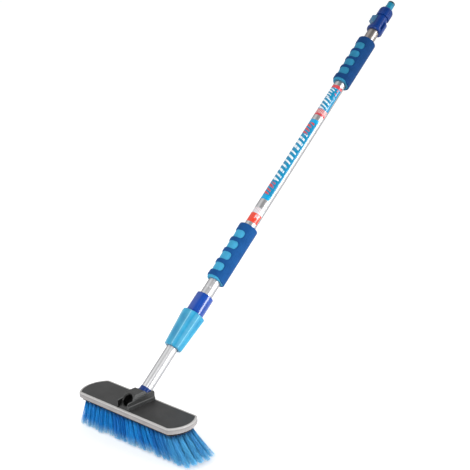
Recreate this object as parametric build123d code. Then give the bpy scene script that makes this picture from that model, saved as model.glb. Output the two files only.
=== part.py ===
from build123d import *
import os
from math import cos, radians, sin, sqrt, tan

# Telescopic flow-through wash brush.
# Millimetres. Z is up and the bristle tips stand on Z = 0, with the origin in the middle of the washing
# face. X runs along the brush head. The pole leans away from the head in the YZ plane.

# Brush head
straight_length = 250.0      # long edge of the head, between the corners of its curved ends
head_width = 66.0
end_bulge = 15.0             # how far a curved end stands out past its corners
corner_radius = 6.0
shell_height = 12.0
shell_wall = 3.0
top_edge_radius = 1.2
block_thickness = 4.0
block_inset = 1.5            # the block's edge lies this far inside the shell's edge
bumper_width = 4.0
bumper_height = 11.0
bumper_radius = 1.9
gasket_width = 2.0
gasket_height = 1.2

# Bristles
bristle_length = 56.0
row_count = 5
row_root_pitch = 11.0
row_root_width = 8.0
row_tip_pitch = 13.0
row_tip_gap = 0.6
row_end_inset = 9.0          # the last tuft of a row, in from the shell's edge
lean_left = 6.0              # tips past the roots at the -X end
lean_right = 40.0            # tips past the roots at the +X end

# Screws that hold the block to the shell, and the water jets
screw_places_x = (-100.0, -36.0, 36.0, 100.0)
screw_place_y = 18.0
screw_radius = 1.75
screw_head_radius = 3.5
screw_head_height = 1.8
screw_length = 9.0           # depth of the pilot hole, from the screw head's seat
screw_tip_gap = 1.0
screw_slot_width = 0.8
screw_slot_depth = 0.9
boss_radius = 4.0
jet_radius = 1.0
jet_spacing = 30.0
jet_count = 7

# Hub, a moulding let into the top of the shell: two sockets that lean apart, between two cheeks
pole_angle = 40.0            # pole above the horizontal
axis_offset = 3.0            # where the pole's axis meets the head's top face, from the middle
hub_top_wall = 2.8           # hub's material round a socket, above and beside it
hub_side_wall = 2.5
hub_ridge_radius = 3.0
cheek_thickness = 2.5
cheek_low_height = 14.0       # cheeks rise from the spare socket's end to the pole's end
cheek_high_height = 20.5
cheek_end_radius = 4.0
ledge_width = 1.5
ledge_height = 8.0
ledge_chamfer = 1.35
hub_end_gap = 0.5            # hub stops this far inside the head's long edge
plug_edge = 3.0              # between the water chamber's wall and the hub's plug, which fills the shell
plug_depth = 7.0
socket_floor = 7.0           # places along the pole's axis, from the head's top face
socket_mouth = 22.5
spare_lead_in = 1.9          # chamfer round the mouth of the spare socket
water_hole_radius = 4.5
drill_length = 40.0          # long enough to leave the hub at either end of a socket

# Fits
thread_clearance = 0.1       # radial, male to female thread
slide_clearance = 0.1        # radial, tube in its guide
bonded_clearance = 0.02      # radial, pieces fixed together
turning_clearance = 0.4      # radial, hand nut round the tube and the sleeve
seat_gap = 0.2               # between faces that part when something unscrews
overrun = 1.0                # how far a cutter passes the face it cuts

# Threaded ferrule in the bottom of the inner tube
ferrule_radius = 11.0
ferrule_collar_step = 1.2
ferrule_collar_length = 9.3
ferrule_plug_length = 26.0
ferrule_nose_chamfer = 1.0
washer_thickness = 1.4
ring_section = 1.5           # width of an O-ring and its groove
ring_depth = 1.0

# Tubes
inner_tube_radius = 11.0
tube_wall = 1.0
telescope_gap = 0.5          # radial, between the two tubes
outer_tube_start = 185.0     # places along the pole's axis, as for the socket
outer_tube_length = 783.0
inner_tube_setback = 63.0    # inner tube ends this far below the end of the outer one
bead_place = 262.0           # rolled bead that keeps the piston in
bead_width = 4.0
bead_depth = 0.3

# Piston on the top of the inner tube
piston_plug_length = 22.0
piston_head_length = 22.0
piston_clearance = 0.05
piston_bore_radius = 6.0
piston_ring_spacing = 8.8

# Twist lock
nut_start = 124.0
nut_length = 79.0
nut_small_wall = 7.8         # from the inner tube's surface
nut_large_wall = 6.0         # from the lock body's sleeve
nut_flutes = 8
nut_turn = 27.0              # a ridge's place round the pole
nut_flute_depth = 1.5
nut_rim = 0.5                # ridges stand this far past the plain cone between the rounded ends
nut_end_radius = 2.5
nut_throat_length = 13.0
nut_mouth_depth = 13.0
cone_length = 18.0
cone_small_wall = 1.4        # from the inner tube's surface
collet_slots = 4
collet_slot_width = 1.6
collet_slot_length = 20.0
collet_setback = 1.0         # collet's small end, up from the start of the nut's cone
lock_thread_wall = 3.1       # from the outer tube's surface
lock_sleeve_wall = 5.5
lock_sleeve_end = 246.0
lock_chamfer = 1.2
lock_shoulder_gap = 1.0      # between the sleeve's shoulder and the bottom of the nut's mouth
lock_nose = 165.0            # lower end of the lock body
wiper_place = 170.0
wiper_height = 3.0
wiper_depth = 1.8

# Foam grips
lower_grip_length = 133.0
upper_grip_length = 124.0
grip_core_thickness = 5.7
grip_cover_thickness = 2.1
grip_cover_rounding = 1.8
grip_core_chamfer = 0.5
lower_grip_start = 282.0
upper_grip_setback = 162.0   # from the end of the outer tube down to the start of the upper grip
notch_count = 4
lower_notch_pitch = 26.8
upper_notch_pitch = 24.2
notch_length = 20.0
notch_angle = 134.0
notch_turn = 14.0            # middle of the windows, round from the pole's upper side towards -X
notch_corner = 5.5

# Printed film on the tube, round its upper side
film_thickness = 0.15
wide_film_angle = 200.0      # lower and upper films
narrow_film_angle = 150.0    # middle film
lower_film_length = 35.0
upper_film_length = 84.0
lower_film_gap = 10.0        # bare tube between the lower grip and the lower film
lower_middle_gap = 22.5      # between the lower and middle films
middle_upper_gap = 13.0      # between the middle and upper films
upper_film_gap = 12.5        # between the upper film and the upper grip

# Valve at the top of the pole
valve_overlap = 7.0          # valve's collar covers this much of the outer tube
valve_collar_wall = 4.9      # from the outer tube's surface
valve_collar_height = 8.0
valve_collar_chamfer = 2.5
valve_collar_edge = 1.0
valve_neck_wall = 1.1        # from the outer tube's surface
valve_turn = 43.0            # thumb slider's place, round from the pole's upper side towards -X
valve_lug_step = 1.4         # past the collar
valve_lug_angle = 90.0
valve_lug_length = 22.0      # past the top of the collar
valve_lug_chamfer = 3.0
valve_bore_radius = 7.0
valve_thread_radius = 11.5
valve_thread_length = 12.0
valve_spigot_length = 26.0
valve_ring_places = (5.2, 13.0)      # O-rings on the spigot, from its lower end
slider_low_gap = 1.0         # collar to slider at the lower end of its travel
slider_high_gap = 3.0        # slider to bonnet at the upper end
slider_length = 24.0
slider_half_width = 8.0
slider_stand = 2.8           # past the lug
slider_ramp = 8.0            # length of the slopes at the pad's ends
slider_edge_radius = 1.5
slider_travel = 6.0
slider_stem_width = 4.0
slider_stem_length = 8.0
slider_lift = 0.4            # air between the pad and the valve's neck
spool_clearance = 0.08
spool_bore_radius = 3.0
spool_length = 36.0
spool_nose_length = 3.0
spool_nose_step = 2.5
spool_ring_inset = 4.5       # middle of each O-ring, in from the spool's ends
bonnet_height = 25.5
bonnet_radius = 16.0
bonnet_dome = 8.0
bonnet_grooves = 10
bonnet_groove_radius = 1.2
bonnet_groove_offset = 0.5   # groove's axis outside the bonnet's face
bonnet_groove_inset = 3.0
bonnet_thread_room = 2.0
nipple_shank_radius = 7.0
nipple_shank_length = 10.0
nipple_radius = 8.5
nipple_length = 22.0
nipple_groove_place = 10.0
nipple_groove_width = 4.0
nipple_groove_depth = 1.6
nipple_groove_slope = 1.0
nipple_tip_step = 0.3
nipple_tip_chamfer = 1.5
nipple_ring_inset = 4.0
nipple_bore_radius = 4.2

block_top = bristle_length + block_thickness
head_top = block_top + shell_height
half_length = straight_length / 2
half_width = head_width / 2
end_arc_radius = (half_width ** 2 + end_bulge ** 2) / (2 * end_bulge)
pole_plane = Plane(
    origin=(0, axis_offset, head_top),
    x_dir=(1, 0, 0),
    z_dir=(0, cos(radians(pole_angle)), sin(radians(pole_angle))),
)
hub_half_width = ferrule_radius + hub_side_wall
hub_reach = (ferrule_radius + hub_top_wall) * cos(radians(pole_angle))
hub_height = socket_mouth * sin(radians(pole_angle)) + hub_reach
plug_length = head_width - 2 * (shell_wall + plug_edge)
ferrule_collar_radius = ferrule_radius + ferrule_collar_step
outer_tube_radius = inner_tube_radius + telescope_gap + tube_wall
outer_tube_end = outer_tube_start + outer_tube_length
inner_tube_start = socket_mouth + seat_gap + ferrule_collar_length
inner_tube_end = outer_tube_end - inner_tube_setback
cone_small_radius = inner_tube_radius + cone_small_wall
lock_thread_radius = outer_tube_radius + lock_thread_wall
lock_sleeve_radius = outer_tube_radius + lock_sleeve_wall
nut_small_radius = inner_tube_radius + nut_small_wall
nut_large_radius = lock_sleeve_radius + nut_large_wall
nut_end = nut_start + nut_length
cone_start = nut_start + nut_throat_length
cone_end = cone_start + cone_length
mouth_start = nut_end - nut_mouth_depth
grip_core_radius = outer_tube_radius + grip_core_thickness
grip_radius = grip_core_radius + grip_cover_thickness
upper_grip_start = outer_tube_end - upper_grip_setback
lower_film_start = lower_grip_start + lower_grip_length + lower_film_gap
lower_film_end = lower_film_start + lower_film_length
upper_film_end = upper_grip_start - upper_film_gap
upper_film_start = upper_film_end - upper_film_length
middle_film_start = lower_film_end + lower_middle_gap
middle_film_end = upper_film_start - middle_upper_gap
films = {
    "label_lower": (lower_film_start, lower_film_end, wide_film_angle),
    "label_middle": (middle_film_start, middle_film_end, narrow_film_angle),
    "label_upper": (upper_film_start, upper_film_end, wide_film_angle),
}
valve_start = outer_tube_end - valve_overlap
valve_collar_radius = outer_tube_radius + valve_collar_wall
valve_neck_radius = outer_tube_radius + valve_neck_wall
valve_lug_radius = valve_collar_radius + valve_lug_step
slider_radius = valve_lug_radius + slider_stand
neck_start = valve_start + valve_collar_height
valve_lug_end = neck_start + valve_lug_length
slider_start = neck_start + slider_low_gap + slider_travel      # slider at the upper end of its travel
bonnet_start = slider_start + slider_length + slider_high_gap


def on_pole(shape):
    """Moves a shape from the pole's own axes, Z along the pole, to its place on the object."""
    return pole_plane.location * shape


def turned(profile):
    """Turned piece round the pole's axis, from (radius, place along the pole) points."""
    outline = Plane.XZ * make_face(Polyline(*profile, close=True))
    return revolve(outline, Axis.Z)


def ring(inner, outer, start, end):
    """Plain tube or washer round the pole's axis."""
    return turned([(inner, start), (outer, start), (outer, end), (inner, end)])


def head_outline(inset):
    """Plan outline of the head, moved in by the inset: straight long edges and arched ends."""
    near_left = (-half_length, -half_width)
    near_right = (half_length, -half_width)
    far_right = (half_length, half_width)
    far_left = (-half_length, half_width)
    right_end = ThreePointArc(near_right, (half_length + end_bulge, 0), far_right)
    left_end = ThreePointArc(far_left, (-half_length - end_bulge, 0), near_left)
    edges = [Line(near_left, near_right), right_end, Line(far_right, far_left), left_end]
    outline = make_face(edges)
    outline = fillet(outline.vertices(), corner_radius)
    if inset == 0:
        return outline
    return offset(outline, -inset)


def head_slab(inset, bottom, height):
    """Plate with the head's outline."""
    return extrude(Pos(0, 0, bottom) * head_outline(inset), height)


def end_reach(y):
    """How far the head's curved end reaches along X at a distance y from the middle."""
    return half_length + end_bulge - end_arc_radius + sqrt(end_arc_radius ** 2 - y ** 2)


def screw_places():
    """Places of the block's screws, seen from above."""
    return [(x, y) for x in screw_places_x for y in (-screw_place_y, screw_place_y)]


def socket_axes():
    """The pole's socket and its mirror image, the spare socket."""
    mirrored = Plane(
        origin=(0, -axis_offset, head_top),
        x_dir=(1, 0, 0),
        z_dir=(0, -cos(radians(pole_angle)), sin(radians(pole_angle))),
    )
    return (pole_plane, mirrored)


def hub_solid():
    """Saddle whose end faces are square to the two sockets, with a cheek and a ledge on each side."""
    hub_end = half_width - hub_end_gap
    slope = tan(radians(pole_angle))
    mouth_y = axis_offset + socket_mouth * cos(radians(pole_angle))
    mouth_z = socket_mouth * sin(radians(pole_angle))
    ridge_y = mouth_y - (hub_height - mouth_z) * slope
    foot_y = mouth_y + mouth_z * slope
    side = [(-foot_y, 0), (foot_y, 0), (ridge_y, hub_height), (-ridge_y, hub_height)]
    saddle_face = Plane.YZ * make_face(Polyline(*side, close=True))
    saddle = extrude(saddle_face, hub_half_width, both=True)
    saddle &= Box(2 * hub_half_width, 2 * hub_end, 2 * hub_height)
    saddle = fillet(saddle.edges().filter_by(Axis.X).group_by(Axis.Z)[-1], hub_ridge_radius)
    cheek_half = hub_half_width + cheek_thickness
    bottom = (Align.CENTER, Align.CENTER, Align.MIN)
    cheek_side = [(-hub_end, 0), (hub_end, 0), (hub_end, cheek_high_height), (-hub_end, cheek_low_height)]
    cheek_face = Plane.YZ * make_face(Polyline(*cheek_side, close=True))
    cheeks = extrude(cheek_face, cheek_half, both=True)
    top_ends = cheeks.edges().filter_by(Axis.X).sort_by(Axis.Z)[-2:]
    cheeks = fillet(top_ends, cheek_end_radius)
    cheeks -= Box(2 * hub_half_width, 2 * hub_end + overrun, cheek_high_height + overrun, align=bottom)
    ledges = Box(2 * (cheek_half + ledge_width), 2 * hub_end, ledge_height, align=bottom)
    ledges = chamfer(ledges.edges().filter_by(Axis.Y).group_by(Axis.Z)[-1], ledge_chamfer)
    ledges -= Box(2 * hub_half_width, 2 * hub_end + overrun, ledge_height + overrun, align=bottom)
    return Pos(0, 0, head_top) * (saddle + cheeks + ledges)


def hub_plug(clearance):
    """Lower part of the hub, which fills the opening in the shell."""
    top = (Align.CENTER, Align.CENTER, Align.MAX)
    width = 2 * (hub_half_width + cheek_thickness + clearance)
    return Pos(0, 0, head_top) * Box(width, plug_length + 2 * clearance, plug_depth, align=top)


def head_hub():
    """Socket hub with the pole's socket, the spare one and the water way down into the head."""
    hub = hub_solid() + hub_plug(0)
    up = (Align.CENTER, Align.CENTER, Align.MIN)
    down = (Align.CENTER, Align.CENTER, Align.MAX)
    bore = Pos(0, 0, socket_floor) * Cylinder(ferrule_radius + thread_clearance, drill_length, align=up)
    for plane in socket_axes():
        hub -= plane.location * bore
    wide_end = ferrule_radius + thread_clearance + spare_lead_in + overrun
    narrow_end = ferrule_radius + thread_clearance
    lead_in = Cone(narrow_end, wide_end, spare_lead_in + overrun, align=up)
    hub -= socket_axes()[1].location * Pos(0, 0, socket_mouth - spare_lead_in) * lead_in
    return hub - on_pole(Pos(0, 0, socket_floor) * Cylinder(water_hole_radius, drill_length, align=down))


def head_shell():
    """Top cover of the head, with the water chamber under it and the opening for the hub."""
    shell = head_slab(0, block_top, shell_height)
    shell = fillet(shell.edges().group_by(Axis.Z)[-1], top_edge_radius)
    shell -= head_slab(shell_wall, block_top, shell_height - shell_wall)
    shell -= hub_plug(bonded_clearance)
    up = (Align.CENTER, Align.CENTER, Align.MIN)
    boss = Cylinder(boss_radius, shell_height - shell_wall, align=up)
    pilot = Cylinder(screw_radius, screw_length, align=up)
    for x, y in screw_places():
        shell += Pos(x, y, block_top) * boss
        shell -= Pos(x, y, bristle_length + screw_head_height) * pilot
    return shell


def bristle_block():
    """Plate that closes the shell and carries the tufts, with its jets and screw holes."""
    block = head_slab(block_inset, bristle_length, block_thickness)
    up = (Align.CENTER, Align.CENTER, Align.MIN)
    for x, y in screw_places():
        block -= Pos(x, y, bristle_length) * Cylinder(screw_radius, block_thickness, align=up)
        block -= Pos(x, y, bristle_length) * Cylinder(screw_head_radius, screw_head_height, align=up)
    for index in range(jet_count):
        x = (index - (jet_count - 1) / 2) * jet_spacing
        for y in (-row_root_pitch / 2, row_root_pitch / 2):
            block -= Pos(x, y, bristle_length) * Cylinder(jet_radius, block_thickness, align=up)
    return block


def block_screws():
    """Pan-head screws, put in from below."""
    up = (Align.CENTER, Align.CENTER, Align.MIN)
    screws = []
    for x, y in screw_places():
        head = Cylinder(screw_head_radius, screw_head_height, align=up)
        head -= Box(screw_head_radius, screw_slot_width, screw_slot_depth, align=up)
        shank = Pos(0, 0, screw_head_height) * Cylinder(screw_radius, screw_length - screw_tip_gap, align=up)
        screws.append(Pos(x, y, bristle_length) * (head + shank))
    return Compound(screws)


def bumper_strip():
    """Soft strip round the edge of the shell."""
    bottom = head_top - bumper_height
    strip = head_slab(-bumper_width, bottom, bumper_height)
    strip = fillet(strip.edges().group_by(Axis.Z)[-1] + strip.edges().group_by(Axis.Z)[0], bumper_radius)
    return strip - head_slab(0, bottom, bumper_height)


def block_gasket():
    """Seal round the water chamber, on top of the block."""
    gasket = head_slab(shell_wall, block_top, gasket_height)
    return gasket - head_slab(shell_wall + gasket_width, block_top, gasket_height)


def bristle_row(index):
    """One row of tufts as a plain slab that spreads and leans towards its tips."""
    step = index - (row_count - 1) / 2
    root_y = step * row_root_pitch
    tip_y = step * row_tip_pitch
    reach = end_reach(root_y) - row_end_inset
    tip_width = row_tip_pitch - row_tip_gap
    tip_length = 2 * reach + lean_left + lean_right
    root = Pos(0, root_y, bristle_length) * Rectangle(2 * reach, row_root_width)
    tip = Pos((lean_right - lean_left) / 2, tip_y, 0) * Rectangle(tip_length, tip_width)
    return loft([tip, root])


def ring_groove(radius, place):
    """Square groove for an O-ring, in the outside of a round piece."""
    half = ring_section / 2
    return ring(radius - ring_depth, radius + overrun, place - half, place + half)


def o_ring(radius, place):
    """O-ring lying in its groove, its outside flush with the piece it seals."""
    half = ring_section / 2
    return ring(radius - ring_depth, radius, place - half, place + half)


def head_washer():
    """Flat washer at the bottom of the pole's socket."""
    outer = ferrule_radius - thread_clearance
    return on_pole(ring(water_hole_radius, outer, socket_floor, socket_floor + washer_thickness))


def ferrule_parts():
    """Threaded end of the pole, and the O-ring that seals it in the inner tube."""
    nose = socket_floor + washer_thickness + seat_gap
    collar = socket_mouth + seat_gap
    plug_radius = inner_tube_radius - tube_wall - bonded_clearance
    plug_end = inner_tube_start + ferrule_plug_length
    profile = [
        (water_hole_radius, nose),
        (ferrule_radius - ferrule_nose_chamfer, nose),
        (ferrule_radius, nose + ferrule_nose_chamfer),
        (ferrule_radius, collar),
        (ferrule_collar_radius, collar),
        (ferrule_collar_radius, inner_tube_start),
        (plug_radius, inner_tube_start),
        (plug_radius, plug_end),
        (water_hole_radius, plug_end),
    ]
    ring_place = inner_tube_start + ferrule_plug_length / 2
    ferrule = turned(profile) - ring_groove(plug_radius, ring_place)
    return on_pole(ferrule), on_pole(o_ring(plug_radius, ring_place))


def inner_tube():
    """Sliding tube."""
    return on_pole(ring(inner_tube_radius - tube_wall, inner_tube_radius, inner_tube_start, inner_tube_end))


def piston_parts():
    """Piston on the top of the inner tube, and its pair of O-rings."""
    plug_radius = inner_tube_radius - tube_wall - bonded_clearance
    head_radius = outer_tube_radius - tube_wall - piston_clearance
    plug_start = inner_tube_end - piston_plug_length
    head_end = inner_tube_end + piston_head_length
    profile = [
        (piston_bore_radius, plug_start),
        (plug_radius, plug_start),
        (plug_radius, inner_tube_end),
        (head_radius, inner_tube_end),
        (head_radius, head_end),
        (piston_bore_radius, head_end),
    ]
    piston = turned(profile)
    middle = inner_tube_end + piston_head_length / 2
    places = [middle - piston_ring_spacing / 2, middle + piston_ring_spacing / 2]
    for place in places:
        piston -= ring_groove(head_radius, place)
    rings = Compound([o_ring(head_radius, place) for place in places])
    return on_pole(piston), on_pole(rings)


def outer_tube():
    """Fixed tube, with the rolled bead near its lower end."""
    bead_start = bead_place - bead_width / 2
    bead_end = bead_place + bead_width / 2
    outer = outer_tube_radius
    inner = outer - tube_wall
    profile = [
        (inner, outer_tube_start),
        (outer, outer_tube_start),
        (outer, bead_start),
        (outer - bead_depth, bead_place),
        (outer, bead_end),
        (outer, outer_tube_end),
        (inner, outer_tube_end),
        (inner, bead_end),
        (inner - bead_depth, bead_place),
        (inner, bead_start),
    ]
    return on_pole(turned(profile))


def fluted_face(radius, place):
    """Star with shallow hollows between its ridges, square to the pole."""
    edges = []
    hollow = radius * cos(radians(180 / nut_flutes)) + nut_rim - nut_flute_depth / 2
    for index in range(nut_flutes):
        start = Vector(radius, 0).rotate(Axis.Z, 360 * index / nut_flutes)
        end = Vector(radius, 0).rotate(Axis.Z, 360 * (index + 1) / nut_flutes)
        middle = Vector(hollow, 0).rotate(Axis.Z, 360 * (index + 0.5) / nut_flutes)
        edges.append(ThreePointArc(start, middle, end))
    return Pos(0, 0, place) * make_face(edges)


def lock_nut():
    """Tapered hand nut: fluted outside, a cone and a thread inside."""
    body = loft([fluted_face(nut_small_radius, nut_start), fluted_face(nut_large_radius, nut_end)])
    envelope = turned([
        (0, nut_start),
        (nut_small_radius - nut_end_radius, nut_start),
        (nut_small_radius + nut_rim, nut_start + nut_end_radius),
        (nut_large_radius + nut_rim, nut_end - nut_end_radius),
        (nut_large_radius - nut_end_radius, nut_end),
        (0, nut_end),
    ])
    thread = lock_thread_radius + thread_clearance
    throat = inner_tube_radius + turning_clearance
    mouth = lock_sleeve_radius + turning_clearance
    hollow = turned([
        (0, nut_start - overrun),
        (throat, nut_start - overrun),
        (throat, cone_start),
        (cone_small_radius + thread_clearance, cone_start),
        (thread, cone_end),
        (thread, mouth_start),
        (mouth, mouth_start),
        (mouth, nut_end + overrun),
        (0, nut_end + overrun),
    ])
    return on_pole(Rot(0, 0, nut_turn) * ((body & envelope) - hollow))


def collet():
    """Split cone that the nut squeezes on to the inner tube."""
    inner = inner_tube_radius + slide_clearance
    wide = lock_thread_radius - 2 * thread_clearance
    start = cone_start + collet_setback
    growth = collet_setback * (lock_thread_radius - cone_small_radius) / cone_length
    profile = [
        (inner, start),
        (cone_small_radius - seat_gap + growth, start),
        (wide, cone_end),
        (wide, lock_nose - seat_gap),
        (inner, lock_nose - seat_gap),
    ]
    body = turned(profile)
    slot_align = (Align.MIN, Align.CENTER, Align.MIN)
    slot = Box(2 * wide, collet_slot_width, collet_slot_length, align=slot_align)
    slot = Pos(0, 0, start - overrun) * slot
    for index in range(collet_slots):
        body -= Rot(0, 0, 360 * (index + 0.5) / collet_slots) * slot
    return on_pole(body)


def lock_body():
    """Sleeve on the lower end of the outer tube: thread for the nut, guide for the inner tube."""
    guide = inner_tube_radius + slide_clearance
    tube_hole = outer_tube_radius + bonded_clearance
    shoulder = mouth_start + lock_shoulder_gap
    body = turned([
        (guide, lock_nose),
        (lock_thread_radius, lock_nose),
        (lock_thread_radius, shoulder),
        (lock_sleeve_radius, shoulder),
        (lock_sleeve_radius, lock_sleeve_end - lock_chamfer),
        (lock_sleeve_radius - lock_chamfer, lock_sleeve_end),
        (tube_hole, lock_sleeve_end),
        (tube_hole, outer_tube_start),
        (guide, outer_tube_start),
    ])
    wiper_end = wiper_place + wiper_height
    return on_pole(body - ring(guide - overrun, guide + wiper_depth, wiper_place, wiper_end))


def wiper_ring():
    """Rubber ring in the lock body that wipes the inner tube."""
    guide = inner_tube_radius + slide_clearance
    return on_pole(ring(guide, guide + wiper_depth, wiper_place, wiper_place + wiper_height))


def grip_notches(start, length, pitch):
    """Four rounded finger windows along a grip."""
    first = start + (length - (notch_count - 1) * pitch) / 2
    half_chord = grip_radius * sin(radians(notch_angle / 2))
    chord_depth = grip_radius * cos(radians(notch_angle / 2))
    outline = Plane.XZ * RectangleRounded(2 * half_chord, notch_length, notch_corner)
    window = Pos(0, -chord_depth, 0) * extrude(outline, grip_radius)
    places = [first + index * pitch for index in range(notch_count)]
    return [Rot(0, 0, -notch_turn) * Pos(0, 0, place) * window for place in places]


def foam_grip(start, length, pitch):
    """Two-layer foam grip: a pale core and a dark cover cut away at the finger windows."""
    end = start + length
    core_hole = outer_tube_radius + bonded_clearance
    core = turned([
        (core_hole, start),
        (grip_core_radius - grip_core_chamfer, start),
        (grip_core_radius, start + grip_core_chamfer),
        (grip_core_radius, end - grip_core_chamfer),
        (grip_core_radius - grip_core_chamfer, end),
        (core_hole, end),
    ])
    cover = ring(grip_core_radius, grip_radius, start, end)
    outer_edges = cover.edges().filter_by(GeomType.CIRCLE).sort_by(SortBy.RADIUS)[-2:]
    cover = fillet(outer_edges, grip_cover_rounding)
    for window in grip_notches(start, length, pitch):
        cover -= window
    return on_pole(core), on_pole(cover)


def film(start, end, angle):
    """Thin printed film round the upper side of the outer tube."""
    outer = outer_tube_radius + film_thickness
    profile = [(outer_tube_radius, start), (outer, start), (outer, end), (outer_tube_radius, end)]
    face = Plane.XZ * make_face(Polyline(*profile, close=True))
    sheet = revolve(face, Axis.Z, angle)
    return on_pole(Rot(0, 0, -90 - angle / 2) * sheet)


def valve_body_parts():
    """Valve housing with the lug under it, the spigot in the tube and the spigot's O-rings."""
    spigot = outer_tube_radius - tube_wall - bonded_clearance
    neck_end = bonnet_start
    thread_end = neck_end + valve_thread_length
    body = turned([
        (valve_bore_radius, valve_start - valve_spigot_length),
        (spigot, valve_start - valve_spigot_length),
        (spigot, outer_tube_end),
        (outer_tube_radius + bonded_clearance, outer_tube_end),
        (outer_tube_radius + bonded_clearance, valve_start),
        (valve_collar_radius - valve_collar_chamfer / 2, valve_start),
        (valve_collar_radius, valve_start + valve_collar_chamfer),
        (valve_collar_radius, neck_start - valve_collar_edge),
        (valve_collar_radius - valve_collar_edge, neck_start),
        (valve_neck_radius, neck_start),
        (valve_neck_radius, neck_end),
        (valve_thread_radius, neck_end),
        (valve_thread_radius, thread_end),
        (valve_bore_radius, thread_end),
    ])
    lug_face = Plane.XZ * make_face(Polyline(
        (valve_neck_radius - overrun, valve_start + valve_collar_chamfer),
        (valve_lug_radius, valve_start + valve_collar_chamfer),
        (valve_lug_radius, valve_lug_end - valve_lug_chamfer),
        (valve_lug_radius - valve_lug_chamfer, valve_lug_end),
        (valve_neck_radius - overrun, valve_lug_end),
        close=True,
    ))
    lug = Rot(0, 0, 90 - valve_lug_angle / 2) * revolve(lug_face, Axis.Z, valve_lug_angle)
    body += lug
    slot_start = stem_start() - slider_travel - slider_lift
    slot_length = slider_stem_length + slider_travel + 2 * slider_lift
    slot_align = (Align.CENTER, Align.MAX, Align.MIN)
    slot = Box(slider_stem_width + 2 * slider_lift, 2 * valve_neck_radius, slot_length, align=slot_align)
    body = Rot(0, 0, -valve_turn) * (body - Pos(0, 0, slot_start) * slot)
    places = [valve_start - valve_spigot_length + place for place in valve_ring_places]
    for place in places:
        body -= ring_groove(spigot, place)
    rings = Compound([o_ring(spigot, place) for place in places])
    return on_pole(body), on_pole(rings)


def stem_start():
    """Lower end of the stem that joins the thumb slider to the spool."""
    return slider_start + (slider_length - slider_stem_length) / 2


def thumb_slider():
    """Pad that the thumb pushes along the valve, with its stem."""
    seat = valve_neck_radius + slider_lift
    stem_foot = valve_bore_radius - spool_clearance
    pad_foot = sqrt(seat ** 2 - slider_half_width ** 2)
    side = [
        (-pad_foot, slider_start),
        (-pad_foot, slider_start + slider_length),
        (-slider_radius, slider_start + slider_length - slider_ramp),
        (-slider_radius, slider_start + slider_ramp),
    ]
    pad_face = Plane.YZ * make_face(Polyline(*side, close=True))
    pad = extrude(pad_face, slider_half_width, both=True)
    pad = fillet(pad.edges().filter_by(Axis.X).group_by(Axis.Y)[0], slider_edge_radius)
    up = (Align.CENTER, Align.CENTER, Align.MIN)
    pad -= Pos(0, 0, slider_start - overrun) * Cylinder(seat, slider_length + 2 * overrun, align=up)
    stem_align = (Align.CENTER, Align.MAX, Align.MIN)
    stem = Box(slider_stem_width, seat + overrun, slider_stem_length, align=stem_align)
    stem -= Pos(0, 0, -overrun) * Cylinder(stem_foot, slider_stem_length + 2 * overrun, align=up)
    return on_pole(Rot(0, 0, -valve_turn) * (pad + Pos(0, 0, stem_start()) * stem))


def spool_parts():
    """Hollow spool that slides in the valve's bore, and its O-rings either side of the slot."""
    outer = valve_bore_radius - spool_clearance
    start = stem_start() + slider_stem_length / 2 - spool_length / 2
    end = start + spool_length
    spool = turned([
        (spool_bore_radius, start),
        (outer, start),
        (outer, end - spool_nose_length),
        (outer - spool_nose_step, end),
        (spool_bore_radius, end),
    ])
    places = [start + spool_ring_inset, end - spool_ring_inset]
    for place in places:
        spool -= ring_groove(outer, place)
    rings = Compound([o_ring(outer, place) for place in places])
    return on_pole(spool), on_pole(rings)


def bonnet():
    """Domed cap screwed on the valve body, with grip grooves round it."""
    end = bonnet_start + bonnet_height
    thread = valve_thread_radius + bonded_clearance
    inside_end = bonnet_start + valve_thread_length + bonnet_thread_room
    blank = ring(nipple_shank_radius, bonnet_radius, bonnet_start, end)
    rims = blank.edges().filter_by(GeomType.CIRCLE).sort_by(SortBy.RADIUS)[-2:].sort_by(Axis.Z)
    blank = fillet(rims[-1], bonnet_dome)
    blank -= ring(nipple_shank_radius - overrun, thread, bonnet_start, inside_end)
    groove_length = bonnet_height - bonnet_dome - 2 * bonnet_groove_inset
    cutter = Cylinder(bonnet_groove_radius, groove_length, align=(Align.CENTER, Align.CENTER, Align.MIN))
    cutter = Pos(bonnet_radius + bonnet_groove_offset, 0, bonnet_start + bonnet_groove_inset) * cutter
    for index in range(bonnet_grooves):
        blank -= Rot(0, 0, 360 * (index + 0.5) / bonnet_grooves) * cutter
    return on_pole(blank)


def hose_nipple():
    """Push-in hose nipple with its latch groove."""
    base = bonnet_start + bonnet_height
    groove = base + nipple_groove_place
    groove_end = groove + nipple_groove_width
    end = base + nipple_length
    tip = nipple_radius - nipple_tip_step
    shank = nipple_shank_radius - bonded_clearance
    profile = [
        (nipple_bore_radius, base - nipple_shank_length),
        (shank, base - nipple_shank_length),
        (shank, base),
        (nipple_radius, base),
        (nipple_radius, groove),
        (nipple_radius - nipple_groove_depth, groove + nipple_groove_slope),
        (nipple_radius - nipple_groove_depth, groove_end - nipple_groove_slope),
        (tip, groove_end),
        (tip, end - nipple_tip_chamfer),
        (tip - nipple_tip_chamfer, end),
        (nipple_bore_radius, end),
    ]
    ring_place = end - nipple_ring_inset
    nipple = turned(profile) - ring_groove(tip, ring_place)
    return on_pole(nipple), on_pole(o_ring(tip, ring_place))


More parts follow.
